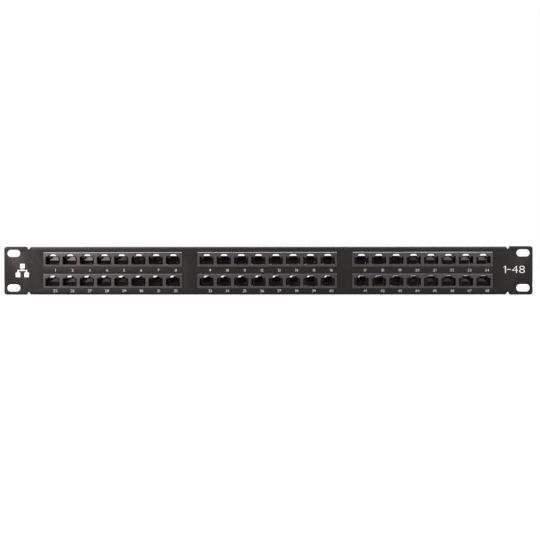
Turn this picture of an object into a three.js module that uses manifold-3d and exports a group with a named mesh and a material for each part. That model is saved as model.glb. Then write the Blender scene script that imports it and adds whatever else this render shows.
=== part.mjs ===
// A 48-port patch panel for a 19-inch rack, one rack unit high.
//
// X runs along the panel, positive towards the right ear as seen from the front.
// Y runs from front to rear, and Z is up. Sizes are in millimetres.
// The origin is the centre of the plane that bears on the rack rails: the rear face of the sheet.
//
// The sockets sit in two rows of three banks, and every bank holds eight ports. A bank is a
// stack of pieces from front to rear: jack housing, contact springs, contact carrier, circuit
// board, punch-down block and wiring label, held to the panel by two screws.

import * as THREE from 'three';
import { mergeVertices } from 'three/addons/utils/BufferGeometryUtils.js';
import Module from 'manifold-3d';

const wasm = await Module();
wasm.setup();

// ---------------------------------------------------------------- driving dimensions

// Flat parts that stack on one another stay this far apart.
const STACK_GAP = 0.1;
// How far a cutting body runs past the face that it opens.
const OVERCUT = 0.5;
// How far a body that is joined to another runs into it.
const ROOT_DEPTH = 1;
// Points nearer to a plane than this lie on it.
const ON_PLANE = 1e-4;

const BANK_PITCH = 141.4;
const ROW_HEIGHT = { upper: 10.05, lower: -9.7 };
const COLUMN_CENTRE = { left: -BANK_PITCH, centre: 0, right: BANK_PITCH };

const PANEL = {
  width: 482.6,
  sheet: 1.5,
  earHeight: 44,
  middleHeight: 43.5,
  cornerRadius: 2.5,
  flangeDepth: 12,
  bendRadius: 2.1,
  notchCentre: 218.7,
  notchWidth: 3.2,
  notchDepth: 2.3,
  slotSpacingX: 465.1,
  slotSpacingZ: 31.75,
  slotLength: 12,
  slotHeight: 6.5,
  slotCurveSegments: 10,
  windowClearance: 0.3,
};

const HOUSING = {
  width: 127.8,
  height: 13.4,
  front: -2.5,
  rear: 13.2,
  edgeChamfer: 0.4,
  ribHeight: 1.2,
  ribWidth: 121,
  ribRear: 2.2,
};

const PORT = {
  count: 8,
  pitch: 15.8,
  width: 12,
  top: 2.65,
  bottom: -4.2,
  leadIn: 0.45,
  leadInDepth: 0.8,
  recessWidth: 8,
  recessTopWidth: 4.3,
  recessTop: 5,
  lipRear: 3.3,
  floorSlotBottom: -5.6,
  floorSlotFront: 0.7,
};

const CARRIER = {
  width: 127,
  plateFront: 13.4,
  plateRear: 14.9,
  top: 2.5,
  bottom: -5.5,
  sledWidth: 11.4,
  sledFront: 1.8,
  sledTop: -4.5,
  combWidth: 8,
  combTopWidth: 6.6,
  combFront: 8.5,
  combSlope: 0.4,
  combBottom: -0.9,
  combTop: 3.2,
};

const SPRING = {
  width: 7.5,
  thickness: 0.35,
  barSize: 0.5,
  pivotY: 1.25,
  pivotZ: -5.15,
  bendZ: -4.2,
  tipY: 9.6,
  tipZ: -1.4,
};

const BOARD = {
  width: 140.4,
  front: 15.1,
  thickness: 1.6,
  top: 3.5,
  bottom: -10.3,
};

const SCREW = {
  offsetX: 67.2,
  z: -3.7,
  shankRadius: 1.35,
  holeRadius: 1.7,
  length: 9,
  headRadius: 2.6,
  headHeight: 1.8,
  headTopRadius: 1.8,
  bossRadius: 2.75,
  bossHoleDepth: 11,
  sides: 8,
  bossSides: 10,
};

const BLOCK = {
  offsetX: 3.2,
  width: 10.4,
  height: 12.4,
  centreZ: { upper: -3.5, lower: -1.5 },
  baseDepth: 3,
  depth: 11.5,
  slotCount: 4,
  slotPitch: 2.2,
  slotWidth: 0.9,
  slotFloor: 4,
  channelHeight: 5.6,
  baseTop: 2.5,
  cornerCut: 1.3,
};

const LABEL = {
  thickness: 0.3,
  height: 4.2,
};

const FINISHES = {
  blackPaint: { color: '#3b3837', roughness: 0.55, metalness: 0.3 },
  blackPlastic: { color: '#2a2829', roughness: 0.3, metalness: 0 },
  greyPlastic: { color: '#3a393c', roughness: 0.35, metalness: 0 },
  gold: { color: '#d8b060', roughness: 0.25, metalness: 1 },
  greenLaminate: { color: '#1d5a3c', roughness: 0.4, metalness: 0 },
  mattBlackPlastic: { color: '#232324', roughness: 0.5, metalness: 0 },
  paper: { color: '#e8e6df', roughness: 0.8, metalness: 0 },
  zinc: { color: '#b4b6ba', roughness: 0.35, metalness: 1 },
};

// ---------------------------------------------------------------- shapes and solids

// A block between two corners.
function block(x0, x1, y0, y1, z0, z1) {
  const geometry = new THREE.BoxGeometry(x1 - x0, y1 - y0, z1 - z0);
  return geometry.translate((x0 + x1) / 2, (y0 + y1) / 2, (z0 + z1) / 2);
}

// An outline drawn in X and Z, made solid from one depth to another.
function extrudeInDepth(outline, front, rear, curveSegments = 6) {
  const options = { depth: rear - front, bevelEnabled: false, curveSegments };
  const geometry = new THREE.ExtrudeGeometry(outline, options);
  return geometry.rotateX(Math.PI / 2).translate(0, rear, 0);
}

// An outline drawn in Y and Z, made solid along X from one end to the other.
function extrudeAlong(outline, x0, x1, curveSegments = 6) {
  const options = { depth: x1 - x0, bevelEnabled: false, curveSegments };
  const geometry = new THREE.ExtrudeGeometry(outline, options);
  const turn = new THREE.Matrix4().set(0, 0, 1, x0, 1, 0, 0, 0, 0, 1, 0, 0, 0, 0, 0, 1);
  return geometry.applyMatrix4(turn);
}

// Moves the points at one depth outwards from an axis along Y, or inwards when the amount is negative.
function spreadEnd(geometry, depth, centreZ, amount) {
  const position = geometry.getAttribute('position');
  for (let i = 0; i < position.count; i += 1) {
    if (Math.abs(position.getY(i) - depth) < ON_PLANE) {
      const x = position.getX(i);
      const z = position.getZ(i);
      position.setX(i, x + Math.sign(x) * amount);
      position.setZ(i, z + Math.sign(z - centreZ) * amount);
    }
  }
  return geometry;
}

// A closed path through points, as an outline.
function polygon(points) {
  return new THREE.Shape(points.map(([u, v]) => new THREE.Vector2(u, v)));
}

// A strip of even thickness along a path of points, as an outline.
function ribbon(points, thickness) {
  const path = points.map(([u, v]) => new THREE.Vector2(u, v));
  const sides = [[], []];
  path.forEach((point, i) => {
    const before = path[Math.max(i - 1, 0)];
    const after = path[Math.min(i + 1, path.length - 1)];
    const arrive = point.clone().sub(before).normalize();
    const leave = after.clone().sub(point).normalize();
    const along = arrive.clone().add(leave).normalize();
    const reference = arrive.length() > 0 ? arrive : leave;
    const reach = thickness / 2 / Math.abs(along.dot(reference));
    const normal = new THREE.Vector2(-along.y, along.x).multiplyScalar(reach);
    sides[0].push(point.clone().sub(normal));
    sides[1].unshift(point.clone().add(normal));
  });
  return new THREE.Shape(sides.flat());
}

// A three.js geometry as a body that can be joined and cut.
function toSolid(geometry) {
  const bare = geometry.clone();
  bare.deleteAttribute('normal');
  bare.deleteAttribute('uv');
  const merged = mergeVertices(bare);
  const vertProperties = new Float32Array(merged.getAttribute('position').array);
  const triVerts = new Uint32Array(withoutSlivers(merged.getIndex().array));
  return new wasm.Manifold(new wasm.Mesh({ numProp: 3, vertProperties, triVerts }));
}

// The triangles that still have three different corners, where doubled outline points leave some that don't.
function withoutSlivers(indices) {
  const kept = [];
  for (let i = 0; i < indices.length; i += 3) {
    const [a, b, c] = indices.slice(i, i + 3);
    if (a !== b && b !== c && c !== a) {
      kept.push(a, b, c);
    }
  }
  return kept;
}

// Joins a list of geometries into one body.
function join(geometries) {
  const [first, ...others] = geometries.map(toSolid);
  return others.reduce((body, next) => body.add(next), first);
}

// A joined and cut body as a three.js geometry.
function toGeometry(body) {
  const { vertProperties, triVerts } = body.getMesh();
  const geometry = new THREE.BufferGeometry();
  geometry.setAttribute('position', new THREE.BufferAttribute(new Float32Array(vertProperties), 3));
  geometry.setIndex(new THREE.BufferAttribute(new Uint32Array(triVerts), 1));
  geometry.computeVertexNormals();
  return geometry;
}

// A named piece with a material of its own.
function piece(name, geometry, finish) {
  const mesh = new THREE.Mesh(geometry, new THREE.MeshStandardMaterial(finish));
  mesh.name = name;
  return mesh;
}

// The centres of a bank's ports along X, from left to right.
function portCentres() {
  const middle = (PORT.count - 1) / 2;
  return Array.from({ length: PORT.count }, (_, i) => (i - middle) * PORT.pitch);
}

// Copies of a geometry, one for each port of a bank.
function atEachPort(geometry) {
  return portCentres().map((x) => geometry.clone().translate(x, 0, 0));
}

// ---------------------------------------------------------------- front panel

// The flat sheet: a tall ear at each end and a lower middle that stops where the flanges bend away.
function sheetOutline() {
  const { width, earHeight, middleHeight, cornerRadius: r, bendRadius, notchCentre } = PANEL;
  const right = width / 2;
  const top = earHeight / 2;
  const bendStart = middleHeight / 2 - bendRadius;
  const outline = new THREE.Shape();
  outline.moveTo(notchCentre, -bendStart);
  outline.lineTo(notchCentre, -top);
  outline.absarc(right - r, r - top, r, -Math.PI / 2, 0, false);
  outline.absarc(right - r, top - r, r, 0, Math.PI / 2, false);
  outline.lineTo(notchCentre, top);
  outline.lineTo(notchCentre, bendStart);
  outline.lineTo(-notchCentre, bendStart);
  outline.lineTo(-notchCentre, top);
  outline.absarc(r - right, top - r, r, Math.PI / 2, Math.PI, false);
  outline.absarc(r - right, r - top, r, Math.PI, Math.PI * 1.5, false);
  outline.lineTo(-notchCentre, -top);
  outline.lineTo(-notchCentre, -bendStart);
  return outline;
}

// The round-ended slot for a rack screw.
function rackSlot(x, z) {
  const r = PANEL.slotHeight / 2;
  const reach = PANEL.slotLength / 2 - r;
  const slot = new THREE.Shape();
  slot.absarc(x + reach, z, r, -Math.PI / 2, Math.PI / 2, false);
  slot.absarc(x - reach, z, r, Math.PI / 2, Math.PI * 1.5, false);
  return extrudeInDepth(slot, -PANEL.sheet - OVERCUT, OVERCUT, PANEL.slotCurveSegments);
}

// The rectangular window that a jack housing passes through.
function bankWindow(x, z) {
  const halfWidth = HOUSING.width / 2 + PANEL.windowClearance;
  const halfHeight = HOUSING.height / 2 + PANEL.windowClearance;
  const front = -PANEL.sheet - OVERCUT;
  return block(x - halfWidth, x + halfWidth, front, OVERCUT, z - halfHeight, z + halfHeight);
}

// The stiffening flange, with its bend, above the middle of the sheet. It is mirrored for the lower edge.
function flange() {
  const { sheet, middleHeight, bendRadius, flangeDepth, notchCentre } = PANEL;
  const top = middleHeight / 2;
  const rear = flangeDepth - sheet;
  const bendY = bendRadius - sheet;
  const bendZ = top - bendRadius;
  const outline = new THREE.Shape();
  outline.moveTo(-sheet, bendZ - ROOT_DEPTH);
  outline.lineTo(0, bendZ - ROOT_DEPTH);
  outline.absarc(bendY, bendZ, bendRadius - sheet, Math.PI, Math.PI / 2, true);
  outline.lineTo(rear, top - sheet);
  outline.lineTo(rear, top);
  outline.absarc(bendY, bendZ, bendRadius, Math.PI / 2, Math.PI, false);
  return extrudeAlong(outline, -notchCentre, notchCentre);
}

// The V-shaped bend relief between an ear and the flange.
function notch(side) {
  const { notchCentre, notchWidth, notchDepth, middleHeight, sheet, flangeDepth } = PANEL;
  const apex = middleHeight / 2 - notchDepth;
  const slope = notchWidth / 2 / notchDepth;
  const rise = notchDepth + OVERCUT;
  const outline = polygon([
    [side * notchCentre - slope * rise, apex + rise],
    [side * notchCentre, apex],
    [side * notchCentre + slope * rise, apex + rise],
  ]);
  return extrudeInDepth(outline, -sheet - OVERCUT, flangeDepth);
}

// A cylinder whose axis runs in depth.
function rod(x, z, radius, front, rear, segments) {
  const geometry = new THREE.CylinderGeometry(radius, radius, rear - front, segments);
  return geometry.translate(x, (front + rear) / 2, z);
}

function frontPanel() {
  const bossRear = BOARD.front - STACK_GAP;
  const bossHoleFront = bossRear - SCREW.bossHoleDepth;
  const bosses = [];
  const cuts = [];
  for (const side of [-1, 1]) {
    for (const level of [-1, 1]) {
      cuts.push(rackSlot((side * PANEL.slotSpacingX) / 2, (level * PANEL.slotSpacingZ) / 2));
    }
  }
  for (const z of Object.values(ROW_HEIGHT)) {
    for (const x of Object.values(COLUMN_CENTRE)) {
      cuts.push(bankWindow(x, z));
      for (const side of [-1, 1]) {
        const place = [x + side * SCREW.offsetX, z + SCREW.z];
        bosses.push(rod(...place, SCREW.bossRadius, -PANEL.sheet / 2, bossRear, SCREW.bossSides));
        cuts.push(rod(...place, SCREW.holeRadius, bossHoleFront, bossRear + OVERCUT, SCREW.sides));
      }
    }
  }
  const upperNotches = [notch(-1), notch(1)];
  cuts.push(...upperNotches, ...upperNotches.map(mirrorHeight));
  const sheet = extrudeInDepth(sheetOutline(), -PANEL.sheet, 0);
  const body = join([sheet, flange(), mirrorHeight(flange()), ...bosses]);
  return toGeometry(body.subtract(join(cuts)));
}

// The mirror image of a geometry in the XY plane.
function mirrorHeight(geometry) {
  return turnFacesOut(geometry.clone().scale(1, 1, -1));
}

// Reverses the winding of every triangle, which a mirror leaves facing inwards.
function turnFacesOut(geometry) {
  const position = geometry.getAttribute('position');
  const first = new THREE.Vector3();
  const third = new THREE.Vector3();
  for (let i = 0; i < position.count; i += 3) {
    first.fromBufferAttribute(position, i);
    third.fromBufferAttribute(position, i + 2);
    position.setXYZ(i, third.x, third.y, third.z);
    position.setXYZ(i + 2, first.x, first.y, first.z);
  }
  return geometry;
}

// ---------------------------------------------------------------- jack housing

// The latch recess over the plug opening, which narrows towards its top.
function recessOutline() {
  const half = PORT.recessWidth / 2;
  const topHalf = PORT.recessTopWidth / 2;
  const { top, recessTop } = PORT;
  return polygon([
    [-half, top - ROOT_DEPTH],
    [half, top - ROOT_DEPTH],
    [half, top],
    [topHalf, recessTop],
    [-topHalf, recessTop],
    [-half, top],
  ]);
}

// Everything that one port removes from the housing. The latch recess is narrow only through the
// front lip, which a plug's latch catches on; behind the lip it opens out to the port's full width.
function portCavity() {
  const { front, rear } = HOUSING;
  const { leadInDepth, leadIn, floorSlotBottom, floorSlotFront } = PORT;
  const { bottom, top, recessTop, lipRear } = PORT;
  const half = PORT.width / 2;
  const mouth = front - OVERCUT;
  const throat = front + leadInDepth;
  const exit = rear + OVERCUT;
  const funnel = block(-half, half, mouth, throat, bottom, top);
  spreadEnd(funnel, mouth, (top + bottom) / 2, (leadIn * (throat - mouth)) / leadInDepth);
  const plugWay = block(-half, half, mouth, exit, bottom, top);
  const latchWay = extrudeInDepth(recessOutline(), mouth, lipRear + OVERCUT);
  const latchRoom = block(-half, half, lipRear, exit, top - OVERCUT, recessTop);
  const floorSlot = block(-half, half, floorSlotFront, exit, floorSlotBottom, bottom + OVERCUT);
  return [funnel, plugWay, latchWay, latchRoom, floorSlot];
}

// A bank of eight sockets. Its stop rib runs along the edge that faces away from the other row.
function jackHousing(outward) {
  const { width, height, front, rear, edgeChamfer, ribHeight, ribWidth, ribRear } = HOUSING;
  const halfHeight = height / 2;
  const halfWidth = width / 2;
  const shoulder = front + edgeChamfer;
  const body = block(-halfWidth, halfWidth, shoulder, rear, -halfHeight, halfHeight);
  const bevel = block(-halfWidth, halfWidth, front, shoulder, -halfHeight, halfHeight);
  spreadEnd(bevel, front, 0, -edgeChamfer);
  const ribEdges = [outward * (halfHeight - ROOT_DEPTH), outward * (halfHeight + ribHeight)];
  const [ribBottom, ribTop] = ribEdges.sort((a, b) => a - b);
  const rib = block(-ribWidth / 2, ribWidth / 2, STACK_GAP, ribRear, ribBottom, ribTop);
  const cavities = portCavity().flatMap(atEachPort);
  const channelHalf = ((PORT.count - 1) * PORT.pitch) / 2;
  const { floorSlotFront, floorSlotBottom } = PORT;
  const { sledFront, sledTop } = CARRIER;
  const barChannel = block(
    -channelHalf, channelHalf, floorSlotFront, sledFront, floorSlotBottom, sledTop,
  );
  return toGeometry(join([body, bevel, rib]).subtract(join([...cavities, barChannel])));
}

// ---------------------------------------------------------------- contacts

// Narrows a comb towards its top and leans its front face back.
function slopeFront(geometry, front, top) {
  const { combWidth, combTopWidth, combSlope } = CARRIER;
  const position = geometry.getAttribute('position');
  for (let i = 0; i < position.count; i += 1) {
    if (position.getZ(i) > top - ON_PLANE) {
      position.setX(i, (position.getX(i) * combTopWidth) / combWidth);
      if (position.getY(i) < front + ON_PLANE) {
        position.setY(i, front + combSlope);
      }
    }
  }
}

// Eight sleds that hold the contact springs, with the comb that guides their tips, on one rear plate.
function contactCarrier() {
  const { width, plateFront, plateRear, top, bottom } = CARRIER;
  const { sledWidth, sledFront, sledTop, combWidth, combFront, combBottom, combTop } = CARRIER;
  const plate = block(-width / 2, width / 2, plateFront, plateRear, bottom, top);
  const sled = block(-sledWidth / 2, sledWidth / 2, sledFront, plateRear, bottom, sledTop);
  const comb = block(-combWidth / 2, combWidth / 2, combFront, plateRear, combBottom, combTop);
  slopeFront(comb, combFront, combTop);
  return toGeometry(join([plate, ...atEachPort(sled), ...atEachPort(comb)]));
}

// The contact springs of eight ports as sloping leaves on one bar, which is also their pivot.
function contactSprings() {
  const { width, thickness, barSize, pivotY, pivotZ, bendZ, tipY, tipZ } = SPRING;
  const path = [[pivotY, pivotZ], [pivotY, bendZ], [tipY, tipZ]];
  const leaf = extrudeAlong(ribbon(path, thickness), -width / 2, width / 2);
  const halfBar = barSize / 2;
  const halfSpan = ((PORT.count - 1) * PORT.pitch + width) / 2;
  const bar = block(
    -halfSpan, halfSpan, pivotY - halfBar, pivotY + halfBar, pivotZ - halfBar, pivotZ + halfBar,
  );
  return toGeometry(join([bar, ...atEachPort(leaf)]));
}

// ---------------------------------------------------------------- rear side

function circuitBoard() {
  const { width, front, thickness, top, bottom } = BOARD;
  const board = block(-width / 2, width / 2, front, front + thickness, bottom, top);
  const holes = [-1, 1].map((side) => {
    const x = side * SCREW.offsetX;
    const { z, holeRadius, sides } = SCREW;
    return rod(x, z, holeRadius, front - OVERCUT, front + thickness + OVERCUT, sides);
  });
  return toGeometry(toSolid(board).subtract(join(holes)));
}

// The depth at which the pieces behind the circuit board start.
const rearStart = BOARD.front + BOARD.thickness + STACK_GAP;

// The left and right ends of a bank's row of punch-down blocks.
function blockRowEnds() {
  const [firstPort] = portCentres();
  const { offsetX, width } = BLOCK;
  return [firstPort + offsetX - width / 2, -firstPort + offsetX + width / 2];
}

// The wire slots of one port: they run the full height of the block, through both rows of teeth.
function wireSlots(bottom, top) {
  const { offsetX, slotCount, slotPitch, slotWidth, slotFloor, depth } = BLOCK;
  return Array.from({ length: slotCount }, (_, i) => {
    const x = offsetX + (i - (slotCount - 1) / 2) * slotPitch;
    const half = slotWidth / 2;
    const mouth = rearStart + depth + OVERCUT;
    return block(x - half, x + half, rearStart + slotFloor, mouth, bottom - OVERCUT, top + OVERCUT);
  });
}

// The cut that takes off the upper left corner of a port's block.
function blockCorner(top) {
  const { offsetX, width, cornerCut, depth } = BLOCK;
  const edge = offsetX - width / 2;
  const corner = polygon([
    [edge - OVERCUT, top - cornerCut - OVERCUT],
    [edge + cornerCut + OVERCUT, top + OVERCUT],
    [edge - OVERCUT, top + OVERCUT],
  ]);
  return extrudeInDepth(corner, rearStart - OVERCUT, rearStart + depth + OVERCUT);
}

// The punch-down block of a bank. Every port has two rows of teeth with a channel between them,
// and the ports share one base. Only the lower row's blocks have a corner cut off.
function punchDownBlock(row) {
  const { offsetX, width, height, baseDepth, baseTop, channelHeight, depth } = BLOCK;
  const centreZ = BLOCK.centreZ[row];
  const top = centreZ + height / 2;
  const bottom = centreZ - height / 2;
  const left = offsetX - width / 2;
  const [rowLeft, rowRight] = blockRowEnds();
  const baseRear = rearStart + baseDepth;
  const rear = rearStart + depth;
  const base = block(rowLeft, rowRight, rearStart, baseRear, bottom, Math.min(top, baseTop));
  const portBlock = block(left, left + width, rearStart, rear, bottom, top);
  const channelHalf = channelHeight / 2;
  const channel = block(
    rowLeft - OVERCUT, rowRight + OVERCUT, baseRear, rear + OVERCUT,
    centreZ - channelHalf, centreZ + channelHalf,
  );
  const cuts = [channel, ...wireSlots(bottom, top).flatMap(atEachPort)];
  if (row === 'lower') {
    cuts.push(...atEachPort(blockCorner(top)));
  }
  return toGeometry(join([base, ...atEachPort(portBlock)]).subtract(join(cuts)));
}

// The strip of colour-code labels in the channel between the two rows of combs.
function wiringLabel(row) {
  const [left, right] = blockRowEnds();
  const front = rearStart + BLOCK.baseDepth + STACK_GAP;
  const half = LABEL.height / 2;
  const centreZ = BLOCK.centreZ[row];
  return block(left, right, front, front + LABEL.thickness, centreZ - half, centreZ + half);
}

// A pan-head screw through the board into its boss.
function boardScrew() {
  const { shankRadius, length, headRadius, headTopRadius, headHeight, sides } = SCREW;
  const profile = [
    [0, -length],
    [shankRadius, -length],
    [shankRadius, 0],
    [headRadius, 0],
    [headRadius, headHeight / 2],
    [headTopRadius, headHeight],
    [0, headHeight],
  ];
  const points = profile.map(([radius, along]) => new THREE.Vector2(radius, along));
  return new THREE.LatheGeometry(points, sides).translate(0, rearStart, 0);
}

// ---------------------------------------------------------------- assembly

function bank(row, column) {
  const place = `${row}_${column}`;
  const outward = row === 'upper' ? 1 : -1;
  const group = new THREE.Group();
  group.position.set(COLUMN_CENTRE[column], 0, ROW_HEIGHT[row]);
  group.add(
    piece(`jack_housing_${place}`, jackHousing(outward), FINISHES.blackPlastic),
    piece(`contact_carrier_${place}`, contactCarrier(), FINISHES.greyPlastic),
    piece(`contact_springs_${place}`, contactSprings(), FINISHES.gold),
    piece(`circuit_board_${place}`, circuitBoard(), FINISHES.greenLaminate),
    piece(`punch_down_block_${place}`, punchDownBlock(row), FINISHES.mattBlackPlastic),
    piece(`wiring_label_${place}`, wiringLabel(row), FINISHES.paper),
  );
  for (const [name, side] of [['left', -1], ['right', 1]]) {
    const screw = piece(`board_screw_${place}_${name}`, boardScrew(), FINISHES.zinc);
    screw.position.set(side * SCREW.offsetX, 0, SCREW.z);
    group.add(screw);
  }
  return group;
}

const group = new THREE.Group();
group.add(piece('front_panel', frontPanel(), FINISHES.blackPaint));
for (const row of Object.keys(ROW_HEIGHT)) {
  for (const column of Object.keys(COLUMN_CENTRE)) {
    group.add(bank(row, column));
  }
}

export default group;
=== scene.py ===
"""The looks of a rack patch panel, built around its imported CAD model.

X runs along the panel, Y from front to rear and Z up, as in the CAD model. Lengths are written in
millimetres and scaled to metres as the meshes are made. The panel has two rows of three banks, and
each bank has eight ports. Fine meshes for one bank of a row are built once, around the bank's own
centre, and placed at each of the row's banks.
"""

import math
from functools import lru_cache

import bmesh
import bpy
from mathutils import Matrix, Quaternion, Vector


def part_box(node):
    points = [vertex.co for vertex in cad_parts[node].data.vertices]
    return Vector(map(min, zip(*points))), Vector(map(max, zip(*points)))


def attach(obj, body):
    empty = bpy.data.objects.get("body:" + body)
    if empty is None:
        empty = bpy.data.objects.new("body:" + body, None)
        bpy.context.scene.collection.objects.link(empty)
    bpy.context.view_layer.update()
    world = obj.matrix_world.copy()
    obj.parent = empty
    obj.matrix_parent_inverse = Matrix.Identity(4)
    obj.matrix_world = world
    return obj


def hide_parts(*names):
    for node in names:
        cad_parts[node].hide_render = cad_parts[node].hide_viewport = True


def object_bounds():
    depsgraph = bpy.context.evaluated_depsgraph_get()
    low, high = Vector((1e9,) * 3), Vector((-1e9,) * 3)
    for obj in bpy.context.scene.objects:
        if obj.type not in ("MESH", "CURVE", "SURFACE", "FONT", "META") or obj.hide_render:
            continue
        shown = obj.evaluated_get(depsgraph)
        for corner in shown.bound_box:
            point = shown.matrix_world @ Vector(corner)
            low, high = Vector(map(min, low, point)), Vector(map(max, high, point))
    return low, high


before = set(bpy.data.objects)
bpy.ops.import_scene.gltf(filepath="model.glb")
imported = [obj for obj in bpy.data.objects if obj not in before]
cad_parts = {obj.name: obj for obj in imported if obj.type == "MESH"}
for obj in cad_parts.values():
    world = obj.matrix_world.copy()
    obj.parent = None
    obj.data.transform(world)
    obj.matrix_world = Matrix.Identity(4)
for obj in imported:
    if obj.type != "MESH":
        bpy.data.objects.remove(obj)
cad_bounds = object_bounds()

MM = 0.001
# How far a cutting tool runs past the face that it opens, in millimetres.
OVERCUT = 0.5
ROOT = "panel_assembly"
ROWS = ("upper", "lower")
COLUMNS = ("left", "centre", "right")


# ---- places taken from the frame

def box_mm(node):
    """The lowest and highest corners of a CAD node, in millimetres."""
    low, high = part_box(node)
    return low / MM, high / MM


def middle(low, high):
    return (low + high) / 2


PANEL_HIGH = box_mm("front_panel")[1]
SHEET = 1.5
SHEET_FRONT_FACE = -SHEET

HOUSING_HEIGHT = 13.4
HOUSING_LOW, HOUSING_HIGH = box_mm("jack_housing_upper_centre")
HOUSING_WIDTH = HOUSING_HIGH.x - HOUSING_LOW.x
HOUSING_FRONT = HOUSING_LOW.y
HOUSING_REAR = HOUSING_HIGH.y
HOUSING_RIB = HOUSING_HIGH.z - HOUSING_LOW.z - HOUSING_HEIGHT


def bank_centre(row, column):
    """The centre of a bank's row of ports, on the rear face of the sheet."""
    low, high = box_mm(f"jack_housing_{row}_{column}")
    half = HOUSING_HEIGHT / 2
    z = low.z + half if row == "upper" else high.z - half
    return Vector((middle(low.x, high.x), 0, z))


CENTRES = {(row, column): bank_centre(row, column) for row in ROWS for column in COLUMNS}

PORT_COUNT = 8
CONTACT_COUNT = 8
LEAF_WIDTH = 7.5
SPRINGS_LOW, SPRINGS_HIGH = box_mm("contact_springs_upper_centre")
PORT_PITCH = (SPRINGS_HIGH.x - SPRINGS_LOW.x - LEAF_WIDTH) / (PORT_COUNT - 1)
PORT_CENTRES = [(i - (PORT_COUNT - 1) / 2) * PORT_PITCH for i in range(PORT_COUNT)]

PORT_WIDTH = 12.0
PORT_TOP = 2.65
PORT_BOTTOM = -4.2
RECESS_TOP = 5.0
RECESS_WIDTH = 8.0
RECESS_TOP_WIDTH = 4.3


def local_box(node, row, column="centre"):
    """A CAD node's corners measured from its bank's centre."""
    low, high = box_mm(node)
    centre = CENTRES[row, column]
    return low - centre, high - centre


CARRIER_LOW, CARRIER_HIGH = local_box("contact_carrier_upper_centre", "upper")
BOARD_LOW, BOARD_HIGH = local_box("circuit_board_upper_centre", "upper")
SCREW_LOW, SCREW_HIGH = local_box("board_screw_upper_centre_right", "upper")
BOARD_EDGE = 0.08
# The gap between a circuit board and the bosses or blocks on either side of it.
BOARD_GAP = 0.1


def screw_places(row, column):
    """The CAD node of each of a bank's screws, and the place of its axis."""
    places = []
    for side in ("left", "right"):
        node = f"board_screw_{row}_{column}_{side}"
        low, high = box_mm(node)
        places.append((node, Vector((middle(low.x, high.x), 0, middle(low.z, high.z)))))
    return places


# ---- mesh building

class Body:
    """Points and faces of one or more closed bodies, in millimetres."""

    def __init__(self):
        self.points = []
        self.faces = []

    def ring(self, points):
        start = len(self.points)
        self.points.extend(Vector(p) for p in points)
        return list(range(start, len(self.points)))

    def wall(self, one, other):
        """A band of faces between two rings with the same number of points."""
        count = len(one)
        for i in range(count):
            j = (i + 1) % count
            self.faces.append((one[i], one[j], other[j], other[i]))

    def loft(self, rings):
        """A closed body through a stack of rings."""
        stack = [self.ring(points) for points in rings]
        for one, other in zip(stack, stack[1:]):
            self.wall(one, other)
        self.faces += [tuple(stack[0]), tuple(stack[-1])]

    def add(self, other, shift=(0, 0, 0)):
        """Joins in a copy of another body, moved by shift."""
        start = len(self.points)
        self.points.extend(p + Vector(shift) for p in other.points)
        self.faces.extend(tuple(i + start for i in face) for face in other.faces)

    def mesh(self, name):
        """A Blender mesh in metres with its faces turned outwards."""
        mesh = bpy.data.meshes.new(name)
        mesh.from_pydata([p * MM for p in self.points], [], self.faces)
        edit = bmesh.new()
        edit.from_mesh(mesh)
        bmesh.ops.triangulate(edit, faces=[face for face in edit.faces if len(face.verts) > 4])
        bmesh.ops.recalc_face_normals(edit, faces=edit.faces)
        edit.to_mesh(mesh)
        edit.free()
        return mesh


def lofted(rings):
    body = Body()
    body.loft(rings)
    return body


def repeated(body, places_mm):
    """A body repeated at several places."""
    copies = Body()
    for place_mm in places_mm:
        copies.add(body, place_mm)
    return copies


def fillet(corners, radii, steps=4):
    """A closed outline whose corners are rounded, each by its own radius."""
    if not isinstance(radii, (list, tuple)):
        radii = [radii] * len(corners)
    outline = []
    for i, (corner, radius) in enumerate(zip(corners, radii)):
        before = corners[i - 1]
        after = corners[(i + 1) % len(corners)]
        outline.extend(corner_arc(before, corner, after, radius, steps))
    return outline


def corner_arc(before, corner, after, radius, steps):
    """The points of an arc that rounds the corner between two others."""
    here = Vector(corner)
    back = (Vector(before) - here).normalized()
    ahead = (Vector(after) - here).normalized()
    half = back.angle(ahead) / 2
    centre = here + (back + ahead).normalized() * (radius / math.sin(half))
    reach = radius / math.tan(half)
    first = here + back * reach - centre
    last = here + ahead * reach - centre
    sweep = first.angle(last)
    points = []
    for step in range(steps + 1):
        share = step / steps
        mixed = first * math.sin((1 - share) * sweep) + last * math.sin(share * sweep)
        points.append(tuple(centre + mixed / math.sin(sweep)))
    return points


def rounded_path(points, radius, steps=5):
    """An open path whose inner corners are rounded."""
    path = [tuple(points[0])]
    for before, corner, after in zip(points, points[1:], points[2:]):
        path.extend(corner_arc(before, corner, after, radius, steps))
    path.append(tuple(points[-1]))
    return path


def rectangle(x0, x1, z0, z1):
    return [(x0, z0), (x1, z0), (x1, z1), (x0, z1)]


def centred(half_width, half_height):
    return rectangle(-half_width, half_width, -half_height, half_height)


def circle(radius, sides):
    turns = [2 * math.pi * i / sides for i in range(sides)]
    return [(radius * math.cos(turn), radius * math.sin(turn)) for turn in turns]


def grown(corners, amount):
    """Corners of an outline, drawn anticlockwise, with every side moved outwards by an amount."""
    moved = []
    for i, corner in enumerate(corners):
        here = Vector(corner)
        arrive = (here - Vector(corners[i - 1])).normalized()
        leave = (Vector(corners[(i + 1) % len(corners)]) - here).normalized()
        outward = Vector((arrive.y + leave.y, -arrive.x - leave.x)).normalized()
        reach = amount / outward.dot(Vector((arrive.y, -arrive.x)))
        moved.append(tuple(here + outward * reach))
    return moved


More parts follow.
